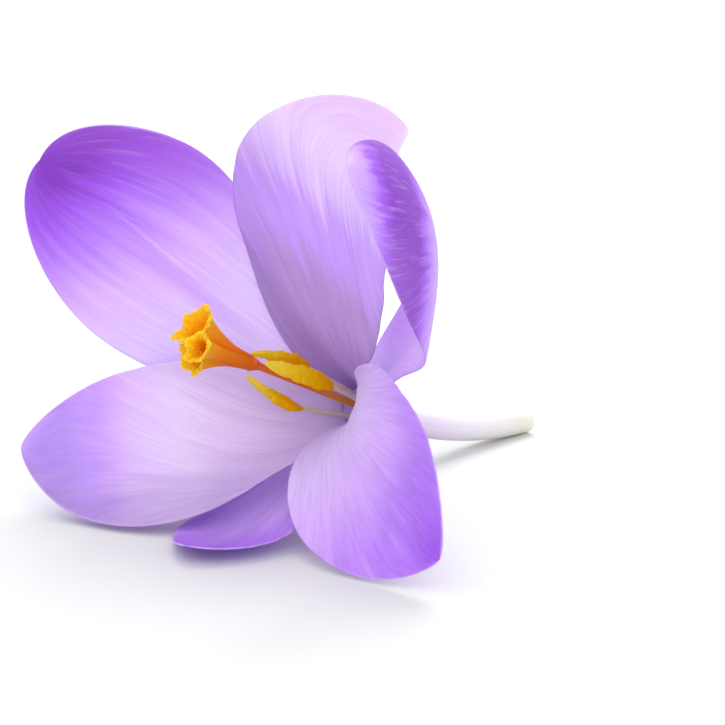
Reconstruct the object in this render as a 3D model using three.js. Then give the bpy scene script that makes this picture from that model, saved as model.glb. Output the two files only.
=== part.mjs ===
import * as THREE from "three";

// A crocus bloom as picked, lying on a surface. Millimetres, +Z up.
// The mouth of the bloom faces -Y and a little up, and its tube runs back along +Y.
// Angles are in degrees. A place is an angle round the bloom's axis, from +X towards the top,
// and a height is measured along that axis from the throat.

// ---- driving dimensions ----

const mouthElevation = 25.3; // of the bloom's axis above the surface
const throatHeight = 8.4; // of the throat's centre above the surface

const tepalBlade = {
  thickness: 0.7,
  lengthSteps: 22,
  widthSteps: 12, // even, so that one row of points runs along the midrib
  tipCrowding: 1.4, // above 1 the rows stand closer together at the tip
  flattest: 0.02, // least hollow, in degrees, of a section that is almost flat
};

// Where the tepals of each whorl stand on the throat, and how broad their bases are.
const whorls = {
  outer: { seatRadius: 3.55, seatHeight: 0.7, claw: 5 },
  inner: { seatRadius: 2.35, seatHeight: 0.7, claw: 3.2 },
};

// lean, sway, twist, hollow, skew: values from the base over the middle to the tip
//   lean is away from the axis, sway to the side, twist about the midrib,
//   hollow is half of the arc that the section spans, and skew the share by which
//   the far side is broader; hollowSkew is the share by which it is more hollow
// widest: above 1 moves the widest point to the tip; blunt: below 1 rounds the tip
const tepals = {
  tepal_outer_1: {
    whorl: "outer", place: 158.6, length: 45.8, width: 23.3, widest: 1.36, blunt: 0.65,
    lean: [25.3, 46.4, 55.9, -10.3], sway: [0, -6.4, -15.1], twist: [0, -9.5, -3.6],
    hollow: [47.8, 40, -40.1], hollowSkew: -0.07, skew: [0, -0.06, -0.17],
  },
  tepal_outer_2: {
    whorl: "outer", place: 30.3, length: 56.5, width: 19.3, widest: 2.19, blunt: 0.66,
    lean: [26.8, 97.7, 17.4, -5.6], sway: [0, -7.9, 15.2], twist: [0, 17.6, 0.2],
    hollow: [43.3, -1, 39.1], hollowSkew: 0.35, skew: [0, -0.61, 0.36],
  },
  tepal_outer_3: {
    whorl: "outer", place: -73.5, length: 36.6, width: 15.8, widest: 1.36, blunt: 0.66,
    lean: [27.1, 56.8, 40.1, 7.9], sway: [0, 6.5, 5.1], twist: [0, 0.6, 13.1],
    hollow: [45.6, 9.6, 2.2], hollowSkew: 0, skew: [0, -0.13, 0.06],
  },
  tepal_inner_1: {
    whorl: "inner", place: 98.2, length: 42.4, width: 25.9, widest: 1.32, blunt: 0.77,
    lean: [12.8, 45.7, 7.7, 144.9], sway: [0, -32.3, -45.7], twist: [0, 58.2, -36.5],
    hollow: [53.2, -30.2, 47], hollowSkew: 0.29, skew: [0, -0.08, 0.21],
  },
  tepal_inner_2: {
    whorl: "inner", place: 219.9, length: 38.1, width: 24.2, widest: 1.29, blunt: 0.67,
    lean: [16.6, 36.8, 64.1, 42.4], sway: [0, 9.2, -14.6], twist: [0, -11.7, 8.1],
    hollow: [52.1, 47.4, 25.6], hollowSkew: 0.06, skew: [0, 0.53, 0.22],
  },
  tepal_inner_3: {
    whorl: "inner", place: -20.9, length: 45.3, width: 21.3, widest: 1.58, blunt: 0.68,
    lean: [18.2, 55.6, 78.7, 83.7], sway: [0, -1.5, -5.2], twist: [0, 3.1, -11.2],
    hollow: [51.2, 54.9, 18.8], hollowSkew: -0.07, skew: [0, 0.06, 0.01],
  },
};

const tube = {
  layLength: 14, // of the stretch that bends down to lie on the surface
  radius: 1.5,
  bore: 0.9,
  throatRadius: 3.9,
  throatBore: 2.1,
  flareLength: 9,
  flarePower: 1.7,
  flareSteps: 6,
  stemSteps: 9,
  sides: 18,
};

const style = {
  radius: 0.45,
  recess: 1, // of its lower end inside the cut end of the tube
  forkHeight: 20.6,
  forkRadius: 0.98,
  forkLength: 2.4,
  shoulder: 0.8, // from the fork's end back to where it is half widened
  steps: 14,
  sides: 10,
};

// Each stigma branch is a trumpet that opens at its tip. height and radius place its mouth.
const stigma = {
  rootRadius: 0.36,
  rootOffset: 0.62,
  gap: 0.3,
  wall: 0.6,
  flare: 1.3, // above 1 the bell widens later
  leastHollow: 0.2, // radius at which the bell's hollow ends
  shortfall: 0.02, // share of the length by which that hollow runs on to its point
  flat: 0.72, // of the mouth's depth to its width
  frills: 7,
  frillDepth: 0.14,
  frillReach: 0.5,
  sides: 28,
  stalkSteps: 4,
  bellSteps: 6,
};
const stigmaBranches = {
  stigma_branch_1: { place: 123, height: 8.6, radius: 1.4, mouth: 2.1, stalk: 0.4, frillStart: 20 },
  stigma_branch_2: { place: 240, height: 7.6, radius: 1.4, mouth: 1.6, stalk: 0.46, frillStart: 75 },
  stigma_branch_3: { place: -28, height: 9.8, radius: 1.1, mouth: 1.3, stalk: 0.54, frillStart: 130 },
};

const stamen = {
  places: [130, 14, 250],
  filamentRadius: 0.35,
  filamentFoot: { height: -1, radius: 1.16 },
  filamentHead: { height: 8.6, radius: 2.7 },
  filamentSides: 8,
  filamentSteps: 6,
  gap: 0.3,
  antherTip: { height: 19.4, radius: 1.45 },
  antherBow: 0.5, // of its middle, away from the axis
  antherWidth: 1, // half, across both of its lobes
  antherDepth: 0.62,
  antherGroove: 0.34, // share by which the groove between the lobes is cut in
  antherWidest: 0.8, // below 1 moves the widest point to the foot
  antherBlunt: 0.4,
  antherSides: 12,
  antherSteps: 8,
};

const finishes = {
  tepal: { color: 0xa57ae0, roughness: 0.6, side: THREE.DoubleSide },
  tube: { color: 0xe9e0f2, roughness: 0.6 },
  filament: { color: 0xf0e3c4, roughness: 0.6 },
  anther: { color: 0xf6b81a, roughness: 0.9 },
  style: { color: 0xf29a1f, roughness: 0.6 },
  stigma: { color: 0xf58a0c, roughness: 0.7 },
};

// ---- directions and places of the bloom ----

const radians = THREE.MathUtils.degToRad;
const tilt = radians(mouthElevation);
const axis = new THREE.Vector3(0, -Math.cos(tilt), Math.sin(tilt));
const across = new THREE.Vector3(1, 0, 0);
const topward = new THREE.Vector3(0, Math.sin(tilt), Math.cos(tilt));
const throat = new THREE.Vector3(0, 0, throatHeight);

// A sum of vectors, each times its own number.
function sum(...terms) {
  const total = new THREE.Vector3();
  for (const [vector, factor] of terms) {
    total.addScaledVector(vector, factor);
  }
  return total;
}

function outwardAt(place) {
  return sum([across, Math.cos(radians(place))], [topward, Math.sin(radians(place))]);
}

function bloomPoint({ height, radius }, place) {
  return sum([throat, 1], [axis, height], [outwardAt(place), radius]);
}

// A value that runs smoothly from the first of its controls to the last.
function blend(controls, s) {
  let values = controls;
  while (values.length > 1) {
    values = values.slice(1).map((value, i) => THREE.MathUtils.lerp(values[i], value, s));
  }
  return values[0];
}

// ---- closed skins ----

function closedGeometry(points, triangles) {
  const geometry = new THREE.BufferGeometry();
  const coordinates = points.flatMap((point) => point.toArray());
  geometry.setAttribute("position", new THREE.Float32BufferAttribute(coordinates, 3));
  geometry.setIndex(triangles.flat());
  geometry.computeVertexNormals();
  return geometry;
}

// A skin over rings of points, each beside the one before. A ring of one point is a pole.
function skinOver(rings, { joinsItself = false } = {}) {
  const starts = [];
  let count = 0;
  for (const ring of rings) {
    starts.push(count);
    count += ring.length;
  }
  const triangles = [];
  const spans = joinsItself ? rings.length : rings.length - 1;
  for (let i = 0; i < spans; i += 1) {
    const next = (i + 1) % rings.length;
    const corner = (ring, j) => starts[ring] + (j % rings[ring].length);
    for (let j = 0; j < Math.max(rings[i].length, rings[next].length); j += 1) {
      if (rings[i].length > 1) {
        triangles.push([corner(i, j), corner(i, j + 1), corner(next, j + 1)]);
      }
      if (rings[next].length > 1) {
        triangles.push([corner(i, j), corner(next, j + 1), corner(next, j)]);
      }
    }
  }
  return closedGeometry(rings.flat(), triangles);
}

const roundSection = (angle) => [Math.cos(angle), Math.sin(angle), 0];

// A ring square to a line. The section gives, for an angle, how far the point lies
// along the first direction, along the second and ahead, in radii.
function ringAround({ point, ahead }, radius, sides, towards, section = roundSection) {
  if (radius === 0) {
    return [point.clone()];
  }
  const first = sum([towards, 1], [ahead, -towards.dot(ahead)]).normalize();
  const second = ahead.clone().cross(first);
  return Array.from({ length: sides }, (_, j) => {
    const [x, y, z] = section((2 * Math.PI * j) / sides);
    return sum([point, 1], [first, radius * x], [second, radius * y], [ahead, radius * z]);
  });
}

function stationOn(curve, share) {
  return { point: curve.getPointAt(share), ahead: curve.getTangentAt(share) };
}

// ---- tepals ----

// The directions along, across and out of a tepal at a share s of its length.
function tepalDirections(form, s) {
  const outward = outwardAt(form.place);
  const sideways = outwardAt(form.place + 90);
  const lean = radians(blend(form.lean, s));
  const sway = radians(blend(form.sway, s));
  const twist = radians(blend(form.twist, s));
  const leaning = sum([axis, Math.cos(lean)], [outward, Math.sin(lean)]);
  const backward = sum([axis, -Math.sin(lean)], [outward, Math.cos(lean)]);
  const along = sum([leaning, Math.cos(sway)], [sideways, Math.sin(sway)]);
  const beside = sum([leaning, -Math.sin(sway)], [sideways, Math.cos(sway)]);
  return {
    along,
    crossways: sum([beside, Math.cos(twist)], [backward, Math.sin(twist)]),
    out: sum([beside, -Math.sin(twist)], [backward, Math.cos(twist)]),
  };
}

function tepalHalfWidth(form, s) {
  const lobe = 0.5 * form.width * Math.sin(Math.PI * s ** form.widest) ** form.blunt;
  return lobe + 0.5 * whorls[form.whorl].claw * (1 - s) ** 3;
}

// One row of points across a tepal: an arc that is hollow towards the bloom's axis.
function tepalRow(form, s, middle, { crossways, out }) {
  const halfWidth = tepalHalfWidth(form, s);
  const skew = blend(form.skew, s);
  const hollow = blend(form.hollow, s);
  const row = [];
  for (let j = 0; j <= tepalBlade.widthSteps; j += 1) {
    const w = (2 * j) / tepalBlade.widthSteps - 1;
    const wanted = hollow * (1 + form.hollowSkew * w);
    const bend = radians(Math.abs(wanted) < tepalBlade.flattest ? tepalBlade.flattest : wanted);
    const arc = (halfWidth * (1 + skew * w)) / bend;
    row.push(sum(
      [middle, 1],
      [crossways, arc * Math.sin(bend * w)],
      [out, -arc * (1 - Math.cos(bend * w))],
    ));
  }
  return row;
}

// The middle surface of a tepal, row by row from its base to its tip.
function tepalRows(form) {
  const { seatRadius, seatHeight } = whorls[form.whorl];
  const middle = bloomPoint({ height: seatHeight, radius: seatRadius }, form.place);
  const rows = [];
  let before = null;
  for (let i = 0; i <= tepalBlade.lengthSteps; i += 1) {
    const s = 1 - (1 - i / tepalBlade.lengthSteps) ** tepalBlade.tipCrowding;
    const directions = tepalDirections(form, s);
    if (before) {
      const step = before.along.clone().add(directions.along).normalize();
      middle.addScaledVector(step, (s - before.s) * form.length);
    }
    rows.push(tepalRow(form, s, middle, directions));
    before = { s, along: directions.along };
  }
  return rows;
}

function rowNormal(rows, i, j) {
  const last = rows.length - 1;
  const inner = Math.min(i, last - 1);
  const edge = rows[inner].length - 1;
  const ahead = rows[inner + 1][j].clone().sub(rows[Math.max(inner - 1, 0)][j]);
  const aside = rows[inner][Math.min(j + 1, edge)].clone().sub(rows[inner][Math.max(j - 1, 0)]);
  return ahead.cross(aside).normalize();
}

// A blade of even thickness about rows of points. All points of its last row are its tip.
function bladeGeometry(rows, thickness) {
  const last = rows.length - 1;
  const edge = rows[0].length - 1;
  const middleColumn = edge / 2;
  const points = [];
  for (const face of [0.5, -0.5]) {
    for (let i = 0; i <= last; i += 1) {
      const columns = i === last ? [middleColumn] : [...rows[i].keys()];
      for (const j of columns) {
        points.push(sum([rows[i][j], 1], [rowNormal(rows, i, j), face * thickness]));
      }
    }
  }
  const faceSize = points.length / 2;
  const corner = (face, i, j) => face * faceSize + i * (edge + 1) + (i === last ? 0 : j);
  const triangles = [];
  for (let i = 0; i < last; i += 1) {
    for (let j = 0; j < edge; j += 1) {
      triangles.push([corner(0, i, j), corner(0, i + 1, j + 1), corner(0, i, j + 1)]);
      triangles.push([corner(1, i, j), corner(1, i, j + 1), corner(1, i + 1, j + 1)]);
      if (i + 1 < last) {
        triangles.push([corner(0, i, j), corner(0, i + 1, j), corner(0, i + 1, j + 1)]);
        triangles.push([corner(1, i, j), corner(1, i + 1, j + 1), corner(1, i + 1, j)]);
      }
    }
  }
  const base = Array.from({ length: edge }, (_, j) => [0, j]);
  const farMargin = Array.from({ length: last }, (_, i) => [i, edge]);
  const nearMargin = Array.from({ length: last }, (_, i) => [last - i, 0]);
  const rim = [...base, ...farMargin, ...nearMargin];
  rim.forEach((here, k) => {
    const next = rim[(k + 1) % rim.length];
    triangles.push([corner(0, ...here), corner(0, ...next), corner(1, ...next)]);
    triangles.push([corner(0, ...here), corner(1, ...next), corner(1, ...here)]);
  });
  return closedGeometry(points, triangles);
}

// ---- tube and style ----

// The tube leaves the throat along the bloom's axis and bends down until it lies on the surface.
const bendLength = (throatHeight - tube.radius) / Math.sin(tilt);
const bendPoint = sum([throat, 1], [axis, -bendLength]);
const cutPoint = bendPoint.clone().setY(bendPoint.y + tube.layLength);
const tubeLine = new THREE.QuadraticBezierCurve3(throat, bendPoint, cutPoint);
const tubeLength = tubeLine.getLength();

// The line that tube and style share: heights below 0 go down the tube.
function bloomLine(height) {
  if (height >= 0) {
    return { point: bloomPoint({ height, radius: 0 }, 0), ahead: axis.clone() };
  }
  const { point, ahead } = stationOn(tubeLine, Math.min(-height / tubeLength, 1));
  return { point, ahead: ahead.negate() };
}

// A radius that keeps its stem value and widens to its throat value over the flare.
function flared(height, stem, mouth) {
  const share = Math.max(0, 1 + height / tube.flareLength);
  return THREE.MathUtils.lerp(stem, mouth, share ** tube.flarePower);
}

function tubeGeometry() {
  const { stemSteps, flareSteps, flareLength, sides } = tube;
  const stem = tubeLength - flareLength;
  const heights = [];
  for (let i = 0; i < stemSteps; i += 1) {
    heights.push(-tubeLength + (stem * i) / stemSteps);
  }
  for (let i = 0; i <= flareSteps; i += 1) {
    heights.push(-flareLength + (flareLength * i) / flareSteps);
  }
  const wallRing = (stemRadius, mouthRadius) => (height) =>
    ringAround(bloomLine(height), flared(height, stemRadius, mouthRadius), sides, across);
  const outside = heights.map(wallRing(tube.radius, tube.throatRadius));
  const inside = heights.toReversed().map(wallRing(tube.bore, tube.throatBore));
  return skinOver([...outside, ...inside], { joinsItself: true });
}

function styleGeometry() {
  const { radius, recess, forkHeight, forkRadius, forkLength, shoulder, steps, sides } = style;
  const foot = recess - tubeLength;
  const neck = forkHeight - forkLength;
  const rings = [ringAround(bloomLine(foot), 0, sides, across)];
  for (let i = 0; i <= steps; i += 1) {
    const height = foot + ((neck - foot) * i) / steps;
    rings.push(ringAround(bloomLine(height), radius, sides, across));
  }
  const shoulderRadius = 0.5 * (radius + forkRadius);
  rings.push(ringAround(bloomLine(forkHeight - shoulder), shoulderRadius, sides, across));
  rings.push(ringAround(bloomLine(forkHeight), forkRadius, sides, across));
  rings.push(ringAround(bloomLine(forkHeight), 0, sides, across));
  return skinOver(rings);
}

// ---- stigma branches ----

function branchGeometry({ place, height, radius, mouth, stalk, frillStart }) {
  const { rootRadius, rootOffset, gap, wall, flat, leastHollow, sides, stalkSteps, bellSteps } = stigma;
  const rootHeight = style.forkHeight + gap;
  const root = bloomPoint({ height: rootHeight, radius: rootOffset }, place);
  const knee = bloomPoint({ height: rootHeight + height / 2, radius: rootOffset }, place);
  const tip = bloomPoint({ height: rootHeight + height, radius: rootOffset + radius }, place);
  const line = new THREE.QuadraticBezierCurve3(root, knee, tip);
  const towards = outwardAt(place);
  // The section turns from a circle at the root into a flat, frilled oval at the mouth.
  const ringOf = (share, ringRadius) => {
    const opening = Math.max(0, (share - stalk) / (1 - stalk));
    const depth = THREE.MathUtils.lerp(1, flat, opening);
    const frill = stigma.frillDepth * opening ** 3;
    return ringAround(stationOn(line, share), ringRadius, sides, towards, (angle) => {
      const wave = Math.cos(stigma.frills * angle + radians(frillStart));
      const swell = 1 + frill * wave;
      const reach = stigma.frillReach * frill * wave;
      return [depth * swell * Math.cos(angle), swell * Math.sin(angle), reach];
    });
  };
  const bellRadius = (share) => {
    const opening = Math.max(0, (share - stalk) / (1 - stalk));
    return THREE.MathUtils.lerp(rootRadius * (1 + share), mouth, opening ** stigma.flare);
  };
  const rings = [ringOf(0, 0)];
  for (let i = 0; i < stalkSteps; i += 1) {
    rings.push(ringOf((stalk * i) / stalkSteps, bellRadius((stalk * i) / stalkSteps)));
  }
  const bell = [];
  for (let i = 0; i <= bellSteps; i += 1) {
    bell.push(stalk + ((1 - stalk) * i) / bellSteps);
  }
  rings.push(...bell.map((share) => ringOf(share, bellRadius(share))));
  const hollowRadius = (share) => bellRadius(share) - wall / flat;
  const hollowBell = bell.filter((share) => hollowRadius(share) > leastHollow).toReversed();
  rings.push(...hollowBell.map((share) => ringOf(share, hollowRadius(share))));
  rings.push(ringOf(hollowBell.at(-1) - stigma.shortfall, 0));
  return skinOver(rings);
}

// ---- stamens ----

function filamentGeometry(place) {
  const { filamentRadius, filamentSides, filamentSteps, filamentFoot, filamentHead } = stamen;
  const foot = bloomPoint(filamentFoot, place);
  const line = new THREE.LineCurve3(foot, bloomPoint(filamentHead, place));
  const towards = outwardAt(place);
  const rings = [ringAround(stationOn(line, 0), 0, filamentSides, towards)];
  for (let i = 0; i <= filamentSteps; i += 1) {
    rings.push(ringAround(stationOn(line, i / filamentSteps), filamentRadius, filamentSides, towards));
  }
  rings.push(ringAround(stationOn(line, 1), 0, filamentSides, towards));
  return skinOver(rings);
}

function antherGeometry(place) {
  const { filamentHead, antherTip, antherBow, antherWidth, antherDepth, antherGroove } = stamen;
  const foot = { height: filamentHead.height + stamen.gap, radius: filamentHead.radius };
  const middle = {
    height: 0.5 * (foot.height + antherTip.height),
    radius: 0.5 * (foot.radius + antherTip.radius) + 2 * antherBow,
  };
  const line = new THREE.QuadraticBezierCurve3(
    bloomPoint(foot, place),
    bloomPoint(middle, place),
    bloomPoint(antherTip, place),
  );
  const section = (angle) => {
    const groove = 1 - antherGroove * Math.cos(angle) ** 4;
    return [antherDepth * groove * Math.cos(angle), antherWidth * Math.sin(angle), 0];
  };
  const { antherSteps, antherSides, antherWidest, antherBlunt } = stamen;
  const towards = outwardAt(place);
  const rings = [];
  for (let i = 0; i <= antherSteps; i += 1) {
    const share = i / antherSteps;
    const fullness = Math.sin(Math.PI * share ** antherWidest) ** antherBlunt;
    const isEnd = i === 0 || i === antherSteps;
    rings.push(ringAround(stationOn(line, share), isEnd ? 0 : fullness, antherSides, towards, section));
  }
  return skinOver(rings);
}

// ---- the bloom ----

const bloom = new THREE.Group();

function add(name, geometry, finish) {
  const mesh = new THREE.Mesh(geometry, new THREE.MeshStandardMaterial(finish));
  mesh.name = name;
  bloom.add(mesh);
}

for (const [name, form] of Object.entries(tepals)) {
  add(name, bladeGeometry(tepalRows(form), tepalBlade.thickness), finishes.tepal);
}
add("perianth_tube", tubeGeometry(), finishes.tube);
add("style", styleGeometry(), finishes.style);
for (const [name, branch] of Object.entries(stigmaBranches)) {
  add(name, branchGeometry(branch), finishes.stigma);
}
stamen.places.forEach((place, i) => {
  add(`filament_${i + 1}`, filamentGeometry(place), finishes.filament);
  add(`anther_${i + 1}`, antherGeometry(place), finishes.anther);
});

// The origin is the middle of the bloom's outline on the surface that it lies on.
const bounds = new THREE.Box3().setFromObject(bloom);
const centre = bounds.getCenter(new THREE.Vector3());
bloom.position.set(-centre.x, -centre.y, -bounds.min.z);

export default bloom;
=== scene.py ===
import math

import bmesh
import bpy
import numpy as np
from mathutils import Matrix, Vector, noise


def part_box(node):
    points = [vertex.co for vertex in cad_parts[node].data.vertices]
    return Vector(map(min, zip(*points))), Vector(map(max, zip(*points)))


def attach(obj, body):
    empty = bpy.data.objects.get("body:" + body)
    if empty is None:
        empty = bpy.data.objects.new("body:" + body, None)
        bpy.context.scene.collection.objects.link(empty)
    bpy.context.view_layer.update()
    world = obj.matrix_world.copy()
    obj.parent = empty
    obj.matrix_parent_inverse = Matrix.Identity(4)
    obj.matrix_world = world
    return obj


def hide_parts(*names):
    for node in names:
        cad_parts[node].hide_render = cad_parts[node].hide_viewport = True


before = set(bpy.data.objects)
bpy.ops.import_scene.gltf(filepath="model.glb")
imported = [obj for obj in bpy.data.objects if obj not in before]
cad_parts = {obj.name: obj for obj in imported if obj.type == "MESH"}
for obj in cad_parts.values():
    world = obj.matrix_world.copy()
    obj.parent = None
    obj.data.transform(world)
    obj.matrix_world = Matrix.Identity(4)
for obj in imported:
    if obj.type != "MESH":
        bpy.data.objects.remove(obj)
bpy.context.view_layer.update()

# Lengths in the dictionaries are millimetres and angles are degrees; mm turns them into metres.
mm = 0.001

bloom = {
    "mouthElevation": 25.3,  # of the bloom's axis above the surface
    "throatHeight": 8.4,
    "tubeRun": 28.6,  # from the throat back to the cut end, along the surface
}

tubeLow, tubeHigh = (Vector(corner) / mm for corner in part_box("perianth_tube"))
throat = np.array([(tubeLow.x + tubeHigh.x) / 2, tubeHigh.y - bloom["tubeRun"], bloom["throatHeight"]])
tilt = math.radians(bloom["mouthElevation"])
axis = np.array([0.0, -math.cos(tilt), math.sin(tilt)])
across = np.array([1.0, 0.0, 0.0])
topward = np.array([0.0, math.sin(tilt), math.cos(tilt)])


def outwardAt(place):
    angle = math.radians(place)
    return across * math.cos(angle) + topward * math.sin(angle)


def bloomPoint(height, radius, place):
    return throat + axis * height + outwardAt(place) * radius


def blend(controls, share):
    # runs smoothly from the first of the controls to the last
    values = [np.zeros_like(share) + value for value in controls]
    while len(values) > 1:
        values = [a + (b - a) * share for a, b in zip(values, values[1:])]
    return values[0]


def smooth(low, high, value):
    share = np.clip((value - low) / (high - low), 0.0, 1.0)
    return share * share * (3.0 - 2.0 * share)


def tapered(place, power):
    # 1 over most of the way from -1 to 1, running out to 0 at both ends, later for a higher power
    return np.sqrt((1 - np.abs(place) ** power).clip(0))


def unitRows(vectors):
    return vectors / np.maximum(np.linalg.norm(vectors, axis=-1, keepdims=True), 1e-9)


def surfaceNormals(points, wraps=False):
    along = np.gradient(points, axis=0)
    if wraps:
        padded = np.concatenate([points[:, -2:-1], points, points[:, 1:2]], axis=1)
        beside = padded[:, 2:] - padded[:, :-2]
    else:
        beside = np.gradient(points, axis=1)
    return unitRows(np.cross(along, beside))


def addSkin(bm, points, materialIndex, flipped):
    # a grid of the given points: rows run along the piece, columns across it
    rows, columns = points.shape[0] - 1, points.shape[1] - 1
    grid = bmesh.ops.create_grid(bm, x_segments=columns, y_segments=rows, size=0.5, calc_uvs=True)
    skin = set(grid["verts"])
    for vert in skin:
        row, column = round((vert.co.y + 0.5) * rows), round((vert.co.x + 0.5) * columns)
        vert.co = points[row, column] * mm
    faces = [face for face in bm.faces if face.verts[0] in skin]
    for face in faces:
        face.material_index = materialIndex
        face.smooth = True
    if flipped:
        bmesh.ops.reverse_faces(bm, faces=faces)


mergeDistance = 0.0005 * mm


def finishPiece(name, bm, materials, node):
    bmesh.ops.remove_doubles(bm, verts=bm.verts, dist=mergeDistance)
    bmesh.ops.dissolve_degenerate(bm, edges=bm.edges, dist=mergeDistance)
    mesh = bpy.data.meshes.new(name)
    bm.to_mesh(mesh)
    bm.free()
    piece = bpy.data.objects.new(name, mesh)
    bpy.context.scene.collection.objects.link(piece)
    for material in materials:
        mesh.materials.append(material)
    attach(piece, "root")
    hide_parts(node)


def newMesh():
    bm = bmesh.new()
    bm.loops.layers.uv.new("sheet")
    return bm


def bladePiece(name, middle, thickness, materials, node, wraps=False):
    # two skins that meet where the thickness runs out; the last material is the outer face's
    bm = newMesh()
    half = surfaceNormals(middle, wraps) * thickness[..., None] / 2
    addSkin(bm, middle + half, 0, True)
    addSkin(bm, middle - half, len(materials) - 1, False)
    finishPiece(name, bm, materials, node)


def roundPiece(name, points, material, node):
    # one closed skin whose columns run round the piece and whose end rows are points
    bm = newMesh()
    addSkin(bm, points, 0, False)
    finishPiece(name, bm, [material], node)


def curvePoints(controls, share):
    # points and directions on a Bezier curve of three controls
    a, b, c = (np.asarray(control, dtype=float) for control in controls)
    t = np.asarray(share, dtype=float)[:, None]
    points = a * (1 - t) ** 2 + b * 2 * t * (1 - t) + c * t * t
    ahead = unitRows((b - a) * (1 - t) + (c - b) * t)
    return points, ahead


def anglesRound(columns):
    return np.linspace(0, 2 * np.pi, columns + 1)[None, :]


def ringSkin(points, ahead, towards, x, y):
    # rings about a line of points: x reaches in the direction given, y square to it and to the line
    first = unitRows(towards - ahead * (ahead @ towards)[:, None])
    second = np.cross(ahead, first)
    return points[:, None, :] + first[:, None, :] * x[..., None] + second[:, None, :] * y[..., None]


def roughness3d(points, scale, seed):
    # smooth random values between about -1 and 1 at the points of a sheet
    flat = points.reshape(-1, 3) * scale + seed
    values = [noise.noise(Vector(place)) for place in flat]
    return np.array(values).reshape(points.shape[:2])


tepalSheet = {
    "rows": 170,
    "columns": 128,
    "tipCrowding": 1.5,  # above 1 the rows stand closer together at the tip
    "thickness": 0.32,
    "rimRoundness": 14.0,  # how late the thickness runs out towards the margin
    "endRoundness": 60.0,
    "flattest": 0.02,  # least hollow, in degrees
    "funnelWrap": 16.0,  # extra hollow at the base, in degrees
    "wrapFade": 8,  # how soon the extra hollow and the claw are left behind
    "clawFade": 4,
}
relief = {
    "grows": (0.05, 0.35),  # where along the tepal the relief begins, and where it is full
    "fades": (0.75, 1.0),
    "foldDepth": 0.16,
    "foldCounts": (6.4, 11.3),  # across the tepal, of the main folds and of the lesser ones
    "lesserFold": 0.6,
    "veinDepth": 0.022,
    "veinCounts": (66, 41),
    "lesserVein": 0.8,
    "veinBend": 2.5,
    "waveDepth": 0.2,
    "waveCount": 15,
}
whorls = {
    "outer": {"seatRadius": 3.55, "seatHeight": 0.7, "claw": 7.0},
    "inner": {"seatRadius": 2.35, "seatHeight": 0.7, "claw": 4.6},
}
# lean, sway, twist, hollow and skew run from the base over the middle to the tip
tepals = {
    "tepal_outer_1": {
        "whorl": "outer", "place": 158.6, "length": 45.8, "width": 23.3, "widest": 1.36, "blunt": 0.65,
        "lean": [25.3, 46.4, 55.9, -10.3], "sway": [0, -6.4, -15.1], "twist": [0, -9.5, -3.6],
        "hollow": [47.8, 40, -40.1], "hollowSkew": -0.07, "skew": [0, -0.06, -0.17],
    },
    "tepal_outer_2": {
        "whorl": "outer", "place": 30.3, "length": 56.5, "width": 19.3, "widest": 2.19, "blunt": 0.66,
        "lean": [26.8, 97.7, 17.4, -5.6], "sway": [0, -7.9, 15.2], "twist": [0, 17.6, 0.2],
        "hollow": [43.3, -1, 39.1], "hollowSkew": 0.35, "skew": [0, -0.61, 0.36],
    },
    "tepal_outer_3": {
        "whorl": "outer", "place": -73.5, "length": 36.6, "width": 15.8, "widest": 1.36, "blunt": 0.66,
        "lean": [27.1, 56.8, 40.1, 7.9], "sway": [0, 6.5, 5.1], "twist": [0, 0.6, 13.1],
        "hollow": [45.6, 9.6, 2.2], "hollowSkew": 0, "skew": [0, -0.13, 0.06],
    },
    "tepal_inner_1": {
        "whorl": "inner", "place": 98.2, "length": 42.4, "width": 25.9, "widest": 1.32, "blunt": 0.77,
        "lean": [12.8, 45.7, 7.7, 144.9], "sway": [0, -32.3, -45.7], "twist": [0, 58.2, -36.5],
        "hollow": [53.2, -30.2, 47], "hollowSkew": 0.29, "skew": [0, -0.08, 0.21],
    },
    "tepal_inner_2": {
        "whorl": "inner", "place": 219.9, "length": 38.1, "width": 24.2, "widest": 1.29, "blunt": 0.67,
        "lean": [16.6, 36.8, 64.1, 42.4], "sway": [0, 9.2, -14.6], "twist": [0, -11.7, 8.1],
        "hollow": [52.1, 47.4, 25.6], "hollowSkew": 0.06, "skew": [0, 0.53, 0.22],
    },
    "tepal_inner_3": {
        "whorl": "inner", "place": -20.9, "length": 45.3, "width": 21.3, "widest": 1.58, "blunt": 0.68,
        "lean": [18.2, 55.6, 78.7, 83.7], "sway": [0, -1.5, -5.2], "twist": [0, 3.1, -11.2],
        "hollow": [51.2, 54.9, 18.8], "hollowSkew": -0.07, "skew": [0, 0.06, 0.01],
    },
}
# midline: where across the sheet the middle strand leaves the base, lean: how far it bends aside on its way
# to the tip, fan: how far the strands spread, power: how late they do, grain: how fine they are, dash: how
# short the streaks along them are
strands = {
    "tepal_outer_1": {"midline": 0.13, "lean": 0.32, "fan": 0.0, "power": 2.0, "grain": 1.6, "dash": 1.0},
    "tepal_outer_2": {"midline": 0.67, "lean": 0.45, "fan": 3.0, "power": 3.7, "grain": 11.0, "dash": 3.5},
    "tepal_outer_3": {"midline": 0.5, "lean": 0.0, "fan": 0.9, "power": 3.5, "grain": 1.2, "dash": 1.0},
    "tepal_inner_1": {"midline": 0.48, "lean": 1.85, "fan": 0.04, "power": 9.0, "grain": 2.0, "dash": 1.0},
    "tepal_inner_2": {"midline": 0.81, "lean": -2.5, "fan": 1.6, "power": 3.4, "grain": 2.0, "dash": 1.0},
    "tepal_inner_3": {"midline": 0.5, "lean": 0.0, "fan": 0.9, "power": 3.5, "grain": 1.2, "dash": 1.0},
}
fanPlace = 0.55  # how far along the tepal the strands have fanned out by the amount given


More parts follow.
